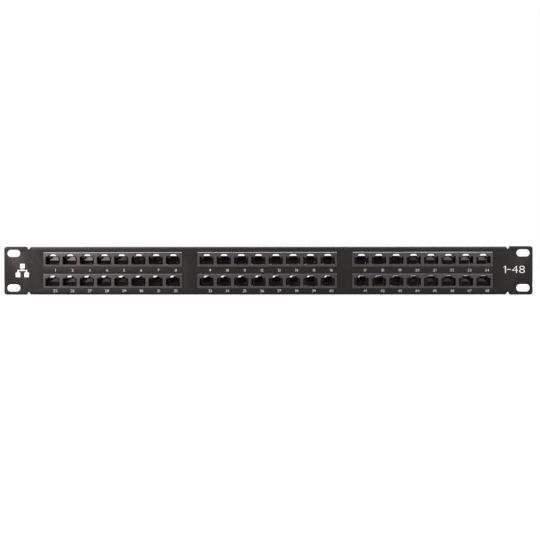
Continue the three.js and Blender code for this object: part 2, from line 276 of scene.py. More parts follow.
def turns_left(corners, i):
    """Whether an outline, drawn anticlockwise, is convex at one of its corners."""
    arrive = Vector(corners[i]) - Vector(corners[i - 1])
    leave = Vector(corners[(i + 1) % len(corners)]) - Vector(corners[i])
    return arrive.cross(leave) > 0


def grown_fillet(corners, radii, amount, steps=4):
    """A rounded outline whose every side is moved outwards by an amount."""
    changed = []
    for i, radius in enumerate(radii):
        changed.append(radius + amount if turns_left(corners, i) else radius - amount)
    return fillet(grown(corners, amount), changed, steps)


ROUND_TURNS = [math.radians(turn) for turn in (0, 30, 60, 90)]


def sheet_stages(edge, side):
    """Depths through the sheet, with the side shifts that round its two edges."""
    front = [(-SHEET + edge * (1 - math.cos(t)), side * edge * (1 - math.sin(t))) for t in ROUND_TURNS]
    return front + [(-SHEET - y, amount) for y, amount in reversed(front)]


def staged(corners, radii, stages, steps=4):
    """A body whose outline grows or shrinks from stage to stage of its depth."""
    return lofted([at_depth(grown_fillet(corners, radii, amount, steps), y) for y, amount in stages])


def sheet_cut(corners, radii, edge, steps=4):
    """A tool that cuts a hole through the sheet and rounds both of the hole's edges."""
    stages = [(-SHEET - OVERCUT, edge), *sheet_stages(edge, 1), (OVERCUT, edge)]
    return staged(corners, radii, stages, steps)


def at_depth(outline, y):
    """An outline drawn in X and Z, as points at one depth."""
    return [(x, y, z) for x, z in outline]


def prism(outline, front, rear):
    """A body with one outline, drawn in X and Z, from one depth to another."""
    return lofted([at_depth(outline, front), at_depth(outline, rear)])


def upright_prism(outline, bottom, top):
    """A body with one outline, drawn in X and Y, from one height to another."""
    return lofted([[(x, y, z) for x, y in outline] for z in (bottom, top)])


def slab(x0, x1, y0, y1, z0, z1, corner=0.3, edge=0.12):
    """A block with rounded corners seen from the front and softened front and rear edges."""
    rings = []
    for y, inset in ((y0, edge), (y0 + edge, 0), (y1 - edge, 0), (y1, edge)):
        corners = rectangle(x0 + inset, x1 - inset, z0 + inset, z1 - inset)
        rings.append(at_depth(fillet(corners, corner, 3), y))
    return lofted(rings)


def rows_of_ports(body):
    """A body repeated at each port of a bank."""
    return repeated(body, [(x, 0, 0) for x in PORT_CENTRES])


def scene_object(name, data):
    """An object for a mesh, a curve, a light or a camera, linked into the scene."""
    obj = bpy.data.objects.new(name, data)
    bpy.context.scene.collection.objects.link(obj)
    return obj


def new_object(name, mesh, material, angle=35):
    """An object for a mesh, shaded smooth apart from edges sharper than the angle."""
    set_material(mesh, material)
    mesh.shade_smooth()
    mesh.set_sharp_from_angle(angle=math.radians(angle))
    return scene_object(name, mesh)


def set_material(mesh, material):
    mesh.materials.clear()
    mesh.materials.append(material)


def operand(shape, name):
    """An object for a boolean, from a body in millimetres or a mesh in metres."""
    mesh = shape if isinstance(shape, bpy.types.Mesh) else shape.mesh(name)
    return scene_object(name, mesh)


def combined(body, tool, operation, name):
    """The mesh of a body joined with, or cut by, another."""
    target = operand(body, name)
    other = operand(tool, name + "_tool")
    modifier = target.modifiers.new("combine", "BOOLEAN")
    modifier.operation = operation
    modifier.solver = "MANIFOLD"
    modifier.object = other
    mesh = final_mesh(target, name)
    for obj in (target, other):
        bpy.data.objects.remove(obj)
    return mesh


def final_mesh(obj, name):
    """A new mesh with an object's modifiers applied."""
    bpy.context.view_layer.update()
    evaluated = obj.evaluated_get(bpy.context.evaluated_depsgraph_get())
    mesh = bpy.data.meshes.new_from_object(evaluated)
    mesh.name = name
    return mesh


def softened(mesh, width, name):
    """A mesh whose sharp edges are rounded."""
    obj = scene_object(name, mesh)
    add_bevel(obj, width)
    result = final_mesh(obj, name)
    bpy.data.objects.remove(obj)
    return result


def add_bevel(obj, width):
    bevel = obj.modifiers.new("edges", "BEVEL")
    bevel.width = width * MM
    bevel.segments = 2
    bevel.limit_method = "ANGLE"
    bevel.angle_limit = math.radians(30)
    bevel.use_clamp_overlap = True
    bevel.miter_outer = "MITER_ARC"


def soften_cad_node(node, width, material):
    """Keeps a CAD node's shape, and rounds its edges slightly with modifiers."""
    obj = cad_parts[node]
    set_material(obj.data, material)
    weld = obj.modifiers.new("weld", "WELD")
    weld.merge_threshold = 0.001 * MM
    flat = obj.modifiers.new("flat", "DECIMATE")
    flat.decimate_type = "DISSOLVE"
    flat.angle_limit = math.radians(0.5)
    add_bevel(obj, width)


def fix(obj, node=None, body=ROOT):
    """Lets an object ride on a body, and stand for a CAD node where it has one."""
    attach(obj, body)
    if node:
        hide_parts(node)


# ---- materials

def feed(tree, value, socket):
    """Links another socket to this one, or sets this one to a number or a colour."""
    if hasattr(value, "is_output"):
        tree.links.new(value, socket)
    elif socket.type == "RGBA":
        socket.default_value = (*value, 1)
    else:
        socket.default_value = value


def add_node(tree, kind, inputs=None, **settings):
    """A new node with its settings, and with inputs that are set or linked by name."""
    node = tree.nodes.new(kind)
    for key, value in settings.items():
        setattr(node, key, value)
    for key, value in (inputs or {}).items():
        feed(tree, value, node.inputs[key])
    return node


class Shader:
    """A Principled material with helpers that add its procedural detail."""

    def __init__(self, name, color, roughness, metallic=0.0, specular=0.5):
        self.material = bpy.data.materials.new(name)
        self.material.use_nodes = True
        self.material.diffuse_color = (*color, 1)
        self.tree = self.material.node_tree
        self.principled = self.tree.nodes["Principled BSDF"]
        self.set("Base Color", color)
        self.set("Roughness", roughness)
        self.set("Metallic", metallic)
        self.set("Specular IOR Level", specular)
        self.position = self.node("ShaderNodeTexCoord").outputs["Object"]

    def set(self, socket, value):
        feed(self.tree, value, self.principled.inputs[socket])

    def node(self, kind, inputs=None, **settings):
        return add_node(self.tree, kind, inputs, **settings)

    def component(self, vector, axis):
        return self.node("ShaderNodeSeparateXYZ", {"Vector": vector}).outputs[axis]

    def facing(self):
        """How far the surface faces the rear: from -1 at the front to 1 at the rear."""
        return self.component(self.node("ShaderNodeNewGeometry").outputs["Normal"], "Y")

    def scaled_position(self, size_mm, stretch=(1, 1, 1)):
        """The place on the object, counted in steps of size_mm."""
        scale = [s / (size_mm * MM) for s in stretch]
        return self.node("ShaderNodeMapping", {"Vector": self.position, "Scale": scale}).outputs["Vector"]

    def noise(self, size_mm, detail=3.0, stretch=(1, 1, 1)):
        """Noise whose features are about size_mm across."""
        place_in_noise = self.scaled_position(size_mm, stretch)
        inputs = {"Vector": place_in_noise, "Scale": 1.0, "Detail": detail, "Roughness": 0.55}
        return self.node("ShaderNodeTexNoise", inputs).outputs["Fac"]

    def remap(self, value, low, high, from_low=0.3, from_high=0.7):
        inputs = {"Value": value, "From Min": from_low, "From Max": from_high}
        inputs |= {"To Min": low, "To Max": high}
        return self.node("ShaderNodeMapRange", inputs).outputs["Result"]

    def mix(self, factor, first, second):
        """A colour between two others; each may be a colour or a socket."""
        mix = self.node("ShaderNodeMix", {"Factor": factor}, data_type="RGBA")
        for key, value in (("A", first), ("B", second)):
            socket = next(s for s in mix.inputs if s.name == key and s.type == "RGBA")
            feed(self.tree, value, socket)
        return next(s for s in mix.outputs if s.type == "RGBA")

    def math(self, operation, first, second=0.0):
        return self.node("ShaderNodeMath", {0: first, 1: second}, operation=operation).outputs[0]

    def bump(self, height, strength, distance_mm):
        normal = self.principled.inputs["Normal"]
        inputs = {"Height": height, "Strength": strength, "Distance": distance_mm * MM}
        if normal.is_linked:
            inputs["Normal"] = normal.links[0].from_socket
        self.set("Normal", self.node("ShaderNodeBump", inputs).outputs["Normal"])

    def cloudy(self, size_mm, first, second):
        """A colour that wanders between two others."""
        return self.mix(self.remap(self.noise(size_mm), 0, 1), first, second)

    def vary_color(self, size_mm, first, second):
        self.set("Base Color", self.cloudy(size_mm, first, second))

    def vary_roughness(self, size_mm, low, high, **options):
        self.set("Roughness", self.remap(self.noise(size_mm, **options), low, high))


def black_paint():
    """Semi-matt black powder coat: fine orange peel, a faint lighter speckle and uneven gloss."""
    shader = Shader("black_powder_coat", (0.013, 0.0123, 0.012), 0.45, specular=0.13)
    speckle = shader.remap(shader.noise(0.25, 2.0), 0, 1, 0.62, 0.75)
    ground = shader.cloudy(22, (0.0118, 0.0111, 0.0108), (0.0145, 0.0137, 0.0133))
    speckled = shader.mix(shader.math("MULTIPLY", speckle, 0.5), ground, (0.034, 0.032, 0.0315))
    shader.set("Base Color", speckled)
    shader.vary_roughness(3.0, 0.37, 0.43)
    shader.bump(shader.noise(0.9, 2.0), 0.35, 0.03)
    shader.bump(shader.noise(0.18, 2.0), 0.25, 0.01)
    return shader.material


# The eroded finish of the housings' fronts also covers their rims, this far in from the outside.
BEZEL_RIM = 0.6


def gloss_plastic():
    """Black moulded plastic: the front and the rim are spark-eroded and greyer; faces that turn away from
    the front, such as the lead-in funnels, are near black as painted shade.
    """
    shader = Shader("black_moulded_plastic", (0.03, 0.028, 0.031), 0.3)
    grained = shader.cloudy(9, (0.028, 0.026, 0.029), (0.033, 0.031, 0.034))
    # Only faces that look straight to the front, and the rim, keep the grained grey; every face turned
    # away from the front is painted near black as shade.
    front_eroded_else_shade = shader.remap(shader.facing(), 1, 0, -0.97, -0.85)
    for axis, size in (("X", HOUSING_WIDTH), ("Z", HOUSING_HEIGHT)):
        away = shader.math("ABSOLUTE", shader.component(shader.position, axis))
        rim = shader.math("GREATER_THAN", away, (size / 2 - BEZEL_RIM) * MM)
        front_eroded_else_shade = shader.math("MAXIMUM", front_eroded_else_shade, rim)
    # Painted shade: this near-black goes on the ports' lead-in funnels and walls and on every other face
    # that turns away from the front.
    polished_painted_shade = (0.006, 0.0056, 0.0062)
    shader.set("Base Color", shader.mix(front_eroded_else_shade, polished_painted_shade, grained))
    shader.vary_roughness(5, 0.26, 0.35, stretch=(0.3, 1, 1))
    shader.bump(shader.noise(0.35, 3.0), 0.2, 0.012)
    return shader.material


def comb_plastic():
    """The glossier, darker plastic of the contact carriers."""
    shader = Shader("contact_carrier_plastic", (0.005, 0.0048, 0.0052), 0.15, specular=0.3)
    shader.vary_color(4, (0.004, 0.0038, 0.0042), (0.006, 0.0057, 0.0063))
    shader.vary_roughness(1.5, 0.12, 0.19)
    shader.bump(shader.noise(0.5, 2.0), 0.12, 0.01)
    return shader.material


def matt_plastic():
    """Black punch-down plastic with a dry, slightly scuffed surface."""
    shader = Shader("punch_down_plastic", (0.02, 0.02, 0.021), 0.48)
    shader.vary_color(6, (0.017, 0.017, 0.018), (0.026, 0.026, 0.027))
    shader.vary_roughness(2.0, 0.4, 0.58)
    shader.bump(shader.noise(0.25, 3.0), 0.3, 0.015)
    return shader.material


def shaded_gold_plate():
    """Gold over bronze, darkened as painted shade for the wires deep in the ports, with fine streaks
    along the wires.
    """
    # This gold is much darker than bright gold: painted shade for the wires that sit deep inside the
    # ports.
    shader = Shader("shaded_gold_plate", (0.42, 0.28, 0.1), 0.35, metallic=1.0)
    shader.vary_color(1.2, (0.38, 0.25, 0.09), (0.48, 0.34, 0.14))
    shader.vary_roughness(0.6, 0.3, 0.42, stretch=(3, 0.3, 0.3))
    return shader.material


def tin_plate():
    """Bright tin on the punch-down blades."""
    shader = Shader("tin_plate", (0.72, 0.72, 0.7), 0.28, metallic=1.0)
    shader.vary_color(1.0, (0.62, 0.62, 0.6), (0.8, 0.8, 0.78))
    shader.vary_roughness(0.5, 0.2, 0.4)
    return shader.material


def zinc_plate():
    """Zinc-plated steel with a faint bluish and straw tint."""
    shader = Shader("zinc_plate", (0.62, 0.63, 0.65), 0.3, metallic=1.0)
    shader.vary_color(1.6, (0.56, 0.59, 0.64), (0.7, 0.68, 0.6))
    shader.vary_roughness(0.7, 0.24, 0.42)
    shader.bump(shader.noise(0.15, 2.0), 0.15, 0.006)
    return shader.material


def printed_ink(name, color):
    """Screen-printed ink with slight thin spots."""
    shader = Shader(name, color, 0.55)
    dim = tuple(c * 0.82 for c in color)
    shader.vary_color(0.35, dim, color)
    shader.vary_roughness(0.3, 0.45, 0.65)
    shader.bump(shader.noise(0.12, 2.0), 0.3, 0.006)
    return shader.material


def board_laminate():
    """Dark solder mask with copper tracks under it, and bare glass laminate on the cut edges."""
    shader = Shader("circuit_board", (0.006, 0.02, 0.014), 0.35)
    inputs = {"Vector": shader.scaled_position(6.0), "Scale": 1.2, "Distortion": 2.5, "Detail": 0.0}
    tracks = shader.node("ShaderNodeTexWave", inputs, wave_type="BANDS", bands_direction="X")
    copper = shader.remap(tracks.outputs["Fac"], 0, 1, 0.55, 0.62)
    mask = shader.mix(copper, (0.004, 0.012, 0.0095), (0.009, 0.03, 0.02))
    edge = shader.remap(shader.math("ABSOLUTE", shader.facing()), 1, 0, 0.4, 0.6)
    weave = shader.cloudy(0.3, (0.1, 0.1, 0.05), (0.15, 0.15, 0.085))
    shader.set("Base Color", shader.mix(edge, mask, weave))
    shader.vary_roughness(2.0, 0.28, 0.42)
    shader.bump(copper, 0.3, 0.03)
    return shader.material


WIRE_COLORS = {
    "blue": (0.03, 0.12, 0.5),
    "orange": (0.75, 0.2, 0.02),
    "green": (0.02, 0.3, 0.08),
    "brown": (0.16, 0.06, 0.025),
}


def label_paper():
    """White label stock: slightly uneven, with visible fibre."""
    shader = Shader("label_paper", (0.78, 0.77, 0.73), 0.75)
    shader.vary_color(1.5, (0.72, 0.71, 0.67), (0.82, 0.81, 0.77))
    shader.bump(shader.noise(0.2, 4.0), 0.3, 0.01)
    return shader.material


MATERIALS = {
    "paint": black_paint(),
    "gloss": gloss_plastic(),
    "comb": comb_plastic(),
    "matt": matt_plastic(),
    "gold": shaded_gold_plate(),
    "tin": tin_plate(),
    "zinc": zinc_plate(),
    "board": board_laminate(),
    "paper": label_paper(),
    "white_ink": printed_ink("white_ink", (0.78, 0.775, 0.77)),
    "grey_ink": printed_ink("number_ink", (0.6, 0.595, 0.59)),
    "black_ink": printed_ink("label_ink", (0.02, 0.02, 0.02)),
}
for colour_name, colour in WIRE_COLORS.items():
    MATERIALS[colour_name] = printed_ink(f"{colour_name}_ink", colour)


# ---- front panel

SHEET_EDGE = 0.25
# How far the front of a jack housing laps over the edge of its window.
WINDOW_LAP = 0.15
WINDOW_CORNER = 0.5
WINDOW_EDGE = 0.05
BEND_RADIUS = 2.1
NOTCH_CENTRE = 218.7
NOTCH_WIDTH = 3.2
NOTCH_DEPTH = 2.3
NOTCH_TIP = 0.3
MIDDLE_HEIGHT = 43.5
FLANGE_REAR = 10.5
# How far the flange's body runs on into the sheet, so that the two overlap.
FLANGE_FOOT = 1.0
EAR_CORNER = 2.5
INNER_CORNER = 0.5
SLOT_SPACING = (465.1, 31.75)
SLOT_SIZE = (12.0, 6.5)
BOSS_RADIUS = 2.75
BOSS_HOLE_RADIUS = 1.5
BOSS_HOLE_FRONT = 4.0


def front_panel_mesh():
    """The bent sheet with its ears, flanges, windows and bosses."""
    name = "front_panel_fine"
    mesh = sheet_plate()
    for part in (flange(1), flange(-1), bosses(BOSS_RADIUS, -SHEET / 2, BOARD_LOW.y - BOARD_GAP)):
        mesh = combined(mesh, part, "UNION", name)
    screw_holes = bosses(BOSS_HOLE_RADIUS, BOSS_HOLE_FRONT, BOARD_LOW.y + OVERCUT)
    for cut in (windows(), rack_slots(), notches(), screw_holes):
        mesh = combined(mesh, cut, "DIFFERENCE", name)
    return mesh


def sheet_plate():
    """The flat part: a tall ear at each end and a lower middle that stops where the bends start."""
    right = PANEL_HIGH.x
    top = PANEL_HIGH.z
    bend = MIDDLE_HEIGHT / 2 - BEND_RADIUS
    half = [
        (NOTCH_CENTRE, -bend),
        (NOTCH_CENTRE, -top),
        (right, -top),
        (right, top),
        (NOTCH_CENTRE, top),
        (NOTCH_CENTRE, bend),
    ]
    radii = [INNER_CORNER] * 2 + [EAR_CORNER] * 2 + [INNER_CORNER] * 2
    corners = half + [(-x, -z) for x, z in half]
    return staged(corners, radii + radii, sheet_stages(SHEET_EDGE, -1), 8)


def bend_arc(radius, steps):
    """The rounded part of a bend in Y and Z, without its ends, around the bend's own centre."""
    turns = [math.radians(90 * step / steps) for step in range(1, steps)]
    return [(-radius * math.cos(turn), radius * math.sin(turn)) for turn in turns]


def flange_outline():
    """The upper flange and its bend in Y and Z, with rounded rear edges."""
    top = MIDDLE_HEIGHT / 2
    inner_radius = BEND_RADIUS - SHEET
    bend_y = inner_radius
    bend_z = top - BEND_RADIUS
    rear_edge = []
    for turn in ROUND_TURNS:
        inset = SHEET_EDGE * (1 - math.cos(turn))
        rear_edge.append((FLANGE_REAR - SHEET_EDGE * (1 - math.sin(turn)), inset))
    outline = [(-SHEET, bend_z - FLANGE_FOOT), (-SHEET, bend_z)]
    outline += [(bend_y + y, bend_z + z) for y, z in bend_arc(BEND_RADIUS, 12)]
    outline.append((bend_y, top))
    outline += [(y, top - inset) for y, inset in rear_edge]
    outline += [(y, top - SHEET + inset) for y, inset in reversed(rear_edge)]
    outline.append((bend_y, top - SHEET))
    outline += [(bend_y + y, bend_z + z) for y, z in reversed(bend_arc(inner_radius, 6))]
    outline += [(0, bend_z), (0, bend_z - FLANGE_FOOT)]
    return outline


def flange(side):
    """The upper flange (side 1) or the lower one (side -1)."""
    outline = flange_outline()
    return lofted([[(x, y, side * z) for y, z in outline] for x in (-NOTCH_CENTRE, NOTCH_CENTRE)])


def bosses(radius, front, rear):
    """Round bodies at the places of all the board screws."""
    places = [place_mm for bank in CENTRES for _, place_mm in screw_places(*bank)]
    return repeated(prism(circle(radius, 32), front, rear), places)


def windows():
    """The six windows that the jack housings look out of."""
    corners = centred(HOUSING_WIDTH / 2 - WINDOW_LAP, HOUSING_HEIGHT / 2 - WINDOW_LAP)
    return repeated(sheet_cut(corners, [WINDOW_CORNER] * 4, WINDOW_EDGE), CENTRES.values())


def rack_slots():
    """The round-ended slots for the rack's screws."""
    half_x = SLOT_SIZE[0] / 2
    half_z = SLOT_SIZE[1] / 2
    slot = sheet_cut(centred(half_x, half_z), [half_z - 0.01] * 4, SHEET_EDGE / 2, 10)
    across = SLOT_SPACING[0] / 2
    up = SLOT_SPACING[1] / 2
    return repeated(slot, [(x, 0, z) for x in (-across, across) for z in (-up, up)])


def notches():
    """The V-shaped bend reliefs between the ears and the flanges."""
    body = Body()
    rise = NOTCH_DEPTH + OVERCUT
    half = NOTCH_WIDTH / 2 * rise / NOTCH_DEPTH
    tip = NOTCH_TIP / 2
    for side in (-1, 1):
        for level in (-1, 1):
            x = side * NOTCH_CENTRE
            apex = level * (MIDDLE_HEIGHT / 2 - NOTCH_DEPTH)
            far = apex + level * rise
            corners = [(x - half, far), (x - tip, apex), (x + tip, apex), (x + half, far)]
            body.add(prism(corners, -SHEET - OVERCUT, FLANGE_REAR + OVERCUT))
    return body


# ---- jack housings

LEAD_IN_DEPTH = 0.8
LEAD_IN_SIDE = 0.45
LEAD_IN_RISE = 0.3
LEAD_IN_CORNER = 1.25
# The funnel's front edge is broken by this much, and its corners are a little rounder there.
MOUTH_EDGE = 0.12
MOUTH_CORNER = 1.35
PORT_CORNER = 0.5
# The latch recess takes this share of the funnel's spread.
RECESS_SHARE = 0.3
RECESS_FOOT_CORNER = 0.3
RECESS_TOP_CORNER = 1.1
BEZEL_CHAMFER = 0.4
BEZEL_CORNER = 0.55
BEZEL_EDGE = 0.12
BEZEL_LIP = 0.25
# The lip behind the bezel starts this far in front of the sheet.
LIP_GAP = 0.01
LATCH_LIP_REAR = 3.3
LATCH_ROOM_INSET = 0.1
LATCH_ROOM_DROP = 0.4
RIB_INSET = 3.4
RIB_FRONT = 0.1
RIB_REAR = 2.2
FLOOR_SLOT_FRONT = 0.7
SLED_GAP = 0.1


def port_outline(side, rise, corner):
    """The plug opening and the latch recess over it, spread outwards by side and rise."""
    half = PORT_WIDTH / 2 + side
    top = PORT_TOP + rise
    bottom = PORT_BOTTOM - rise
    recess = RECESS_WIDTH / 2 + side * RECESS_SHARE
    recess_top = RECESS_TOP_WIDTH / 2 + side * RECESS_SHARE
    crown = RECESS_TOP + rise * RECESS_SHARE
    right = [(half, bottom), (half, top), (recess, top), (recess_top, crown)]
    left = [(-x, z) for x, z in reversed(right)]
    radii = [corner, corner, RECESS_FOOT_CORNER, RECESS_TOP_CORNER]
    return fillet(right + left, radii + radii[::-1], 5)


def housing_shell():
    """The solid strip of a housing with a rounded bezel, before anything is cut from it."""
    stages = [(HOUSING_FRONT + y, -inset) for y, inset in bezel_profile()]
    stages += [
        (SHEET_FRONT_FACE - 2 * LIP_GAP, 0),
        (SHEET_FRONT_FACE - LIP_GAP, -BEZEL_LIP),
        (HOUSING_REAR, -BEZEL_LIP),
    ]
    return staged(centred(HOUSING_WIDTH / 2, HOUSING_HEIGHT / 2), [BEZEL_CORNER] * 4, stages)


def bezel_profile():
    """Depth and inset along the bezel's chamfer, whose two edges are slightly rounded."""
    beyond = BEZEL_CHAMFER + 1
    corners = [(0, beyond), (0, BEZEL_CHAMFER), (BEZEL_CHAMFER, 0), (beyond, 0)]
    return rounded_path(corners, BEZEL_EDGE, 3)[1:-1]


def plug_ways():
    """What every port removes from the shell, widening like a funnel at the front."""
    mouth = (LEAD_IN_SIDE + MOUTH_EDGE, LEAD_IN_RISE + MOUTH_EDGE, MOUTH_CORNER)
    stages = (
        (HOUSING_FRONT - OVERCUT, *mouth),
        (HOUSING_FRONT, *mouth),
        (HOUSING_FRONT + MOUTH_EDGE, LEAD_IN_SIDE, LEAD_IN_RISE, LEAD_IN_CORNER),
        (HOUSING_FRONT + LEAD_IN_DEPTH, 0, 0, PORT_CORNER),
        (HOUSING_REAR + OVERCUT, 0, 0, PORT_CORNER),
    )
    rings = [at_depth(port_outline(side, rise, corner), y) for y, side, rise, corner in stages]
    return rows_of_ports(lofted(rings))


def housing_mesh(row):
    """A bank of eight sockets with a rounded bezel and funnel-shaped openings."""
    name = f"jack_housing_{row}_fine"
    mesh = combined(housing_shell(), housing_rib(row), "UNION", name)
    for cut in (plug_ways(), latch_rooms(), floor_slots(), bar_channel()):
        mesh = combined(mesh, cut, "DIFFERENCE", name)
    return mesh


def latch_rooms():
    """The wider room behind each latch recess, where a plug's latch springs up."""
    half = PORT_WIDTH / 2 - LATCH_ROOM_INSET
    rear = HOUSING_REAR + OVERCUT
    room = slab(-half, half, LATCH_LIP_REAR, rear, PORT_TOP - LATCH_ROOM_DROP, RECESS_TOP, 0.3, 0.02)
    return rows_of_ports(room)


def housing_rib(row):
    """The stop rib behind the sheet, along the edge that faces away from the other row."""
    outward = 1 if row == "upper" else -1
    inner = outward * (HOUSING_HEIGHT / 2 - 1)
    outer = outward * (HOUSING_HEIGHT / 2 + HOUSING_RIB)
    low, high = sorted((inner, outer))
    half = HOUSING_WIDTH / 2 - RIB_INSET
    return slab(-half, half, RIB_FRONT, RIB_REAR, low, high, 0.3, 0.15)


def floor_slots():
    """The slots under the port floors that the carrier's sleds slide into."""
    half = PORT_WIDTH / 2 - SLED_GAP / 2
    rear = HOUSING_REAR + OVERCUT
    bottom = CARRIER_LOW.z - SLED_GAP
    slot = slab(-half, half, FLOOR_SLOT_FRONT, rear, bottom, PORT_BOTTOM + 0.6, 0.1, 0.02)
    return rows_of_ports(slot)


def bar_channel():
    """The channel across the floor slots for the root of the contact wires."""
    half = PORT_CENTRES[-1]
    bottom = CARRIER_LOW.z - SLED_GAP
    return slab(-half, half, FLOOR_SLOT_FRONT, CARRIER_LOW.y, bottom, CARRIER_LOW.z + 1, 0.1, 0.02)


# ---- contacts

CONTACT_PITCH = 1.02
CONTACTS = [(i - (CONTACT_COUNT - 1) / 2) * CONTACT_PITCH for i in range(CONTACT_COUNT)]
COMB_FRONT = 8.5
COMB_BOTTOM = -0.9
COMB_TOP = 3.2
COMB_TOP_HALF = 3.3
COMB_BOTTOM_HALF = 4.0
COMB_SHOULDER = 0.0
COMB_LEAN = 0.4
SLOT_WIDTH = 0.48
SLOT_TOP = -0.45
COMB_EDGE = 0.06
PLATE_FRONT = 13.4
PLATE_TOP = 2.5
# How far the combs and the sleds run on into the rear plate.
PLATE_OVERLAP = 0.6
SLED_WIDTH = 11.4
SLED_DROP = 0.3


def comb_outline(inset=0.0):
    """The front of a contact comb: narrower at its top, with eight slots from below."""
    bottom = COMB_BOTTOM + inset
    top = COMB_TOP - inset
    corners = [(-COMB_BOTTOM_HALF + inset, bottom)]
    for x in CONTACTS:
        half = SLOT_WIDTH / 2 + inset
        corners += [(x - half, bottom), (x - half, SLOT_TOP + inset)]
        corners += [(x + half, SLOT_TOP + inset), (x + half, bottom)]
    side = COMB_BOTTOM_HALF - inset
    crown = COMB_TOP_HALF - inset
    corners += [(side, bottom), (side, COMB_SHOULDER), (crown, top)]
    corners += [(-crown, top), (-side, COMB_SHOULDER)]
    return corners


def lean_back(points):
    """Points of the comb's front face, leaned back towards the top."""
    height = COMB_TOP - COMB_BOTTOM
    return [(x, y + COMB_LEAN * (z - COMB_BOTTOM) / height, z) for x, y, z in points]


def carrier_mesh():
    """A bank's contact carrier: a rear plate with eight sleds and eight combs."""
    plate = slab(CARRIER_LOW.x, CARRIER_HIGH.x, PLATE_FRONT, CARRIER_HIGH.y, CARRIER_LOW.z, PLATE_TOP)
    rear = PLATE_FRONT + PLATE_OVERLAP
    port = lofted([
        lean_back(at_depth(comb_outline(COMB_EDGE), COMB_FRONT)),
        lean_back(at_depth(comb_outline(), COMB_FRONT + COMB_EDGE)),
        at_depth(comb_outline(), rear),
    ])
    half = SLED_WIDTH / 2
    sled_top = PORT_BOTTOM - SLED_DROP
    port.add(slab(-half, half, CARRIER_LOW.y, rear, CARRIER_LOW.z, sled_top, 0.2, 0.15))
    return combined(plate, rows_of_ports(port), "UNION", "contact_carrier_fine")


WIRE_HALF_WIDTH = 0.2
WIRE_HALF_THICKNESS = 0.16
WIRE_SIDES = 10
# The corners of a wire's path in Y and Z, the radius at its bends and the taper of its ends.
WIRE_PATH = ((1.25, -5.35), (1.25, -4.2), (7.9, -1.85), (9.6, -0.8))
WIRE_BEND = 0.45
WIRE_TAPER = 0.6


def wire(x):
    """One contact wire: flat oval wire bent along a path in Y and Z."""
    path = [Vector((x, y, z)) for y, z in rounded_path(WIRE_PATH, WIRE_BEND)]
    oval = [(WIRE_HALF_WIDTH * u, WIRE_HALF_THICKNESS * v) for u, v in circle(1, WIRE_SIDES)]
    across = Vector((1, 0, 0))
    last = len(path) - 1
    rings = []
    for i, point in enumerate(path):
        along = (path[min(i + 1, last)] - path[max(i - 1, 0)]).normalized()
        up = across.cross(along)
        size = WIRE_TAPER if i in (0, last) else 1.0
        rings.append([point + (across * u + up * v) * size for u, v in oval])
    return lofted(rings)


def wires_mesh():
    port = Body()
    for x in CONTACTS:
        port.add(wire(x))
    return rows_of_ports(port).mesh("contact_wires_fine")


# ---- punch-down blocks

BLOCK_OFFSET = 3.2
BLOCK_WIDTH = 10.4
BLOCK_START = BOARD_HIGH.y + BOARD_GAP
BLOCK_BASE = 3.0
CHANNEL = 5.6
WIRE_SLOTS = 4
WIRE_SLOT_PITCH = 2.2
WIRE_SLOT_WIDTH = 0.9
WIRE_SLOT_FLOOR = 4.0
# The slots flare out over the teeth's last part, and the blunt teeth stop short of the pointed ones.
SLOT_FLARE = 0.32
THROAT_DROP = 2.0
BLUNT_DROP = 0.5
TOOTH_TAPER = 0.35
BLOCK_EDGE = 0.12
CORNER_CUT = 1.3
SLOT_PLACES = [BLOCK_OFFSET + (i - (WIRE_SLOTS - 1) / 2) * WIRE_SLOT_PITCH for i in range(WIRE_SLOTS)]


def block_box(row):
    return local_box(f"punch_down_block_{row}_centre", row)


def teeth_outline(rear):
    """A row of teeth, drawn in X and Y: flared wire slots between pointed and blunt teeth."""
    left = BLOCK_OFFSET - BLOCK_WIDTH / 2
    right = BLOCK_OFFSET + BLOCK_WIDTH / 2
    half = WIRE_SLOT_WIDTH / 2
    mouth = half + SLOT_FLARE
    floor = BLOCK_START + WIRE_SLOT_FLOOR
    blunt = rear - BLUNT_DROP
    throat = rear - THROAT_DROP
    outline = [(left, BLOCK_START), (right, BLOCK_START), (right, throat), (right - TOOTH_TAPER, blunt)]
    for i in range(WIRE_SLOTS - 1, -1, -1):
        x = SLOT_PLACES[i]
        outline += [(x + mouth, blunt), (x + half, throat), (x + half, floor)]
        outline += [(x - half, floor), (x - half, throat), (x - mouth, blunt)]
        if i in (1, 3):
            outline.append((x - WIRE_SLOT_PITCH / 2, rear))
    outline += [(left + TOOTH_TAPER, blunt), (left, throat)]
    return outline


def block_mesh(row):
    """A bank's punch-down block: a base with two rows of teeth for every port."""
    low, high = block_box(row)
    base_top = min(high.z, BOARD_HIGH.z - 0.4)
    base = slab(low.x, high.x, BLOCK_START, BLOCK_START + BLOCK_BASE, low.z, base_top, 0.4, 0.15)
    centre = middle(low.z, high.z)
    teeth = teeth_outline(high.y)
    port = Body()
    port.add(upright_prism(teeth, low.z, centre - CHANNEL / 2))
    port.add(upright_prism(teeth, centre + CHANNEL / 2, high.z))
    name = f"punch_down_block_{row}_fine"
    mesh = combined(base, rows_of_ports(port), "UNION", name)
    if row == "lower":
        mesh = combined(mesh, rows_of_ports(corner_cut(high)), "DIFFERENCE", name)
    return softened(mesh, BLOCK_EDGE, name)


def corner_cut(high):
    """The wedge that takes off the upper left corner of a lower block."""
    edge = BLOCK_OFFSET - BLOCK_WIDTH / 2
    corners = [
        (edge - OVERCUT, high.z - CORNER_CUT - OVERCUT),
        (edge + CORNER_CUT + OVERCUT, high.z + OVERCUT),
        (edge - OVERCUT, high.z + OVERCUT),
    ]
    return prism(corners, BLOCK_START - OVERCUT, high.y + OVERCUT)


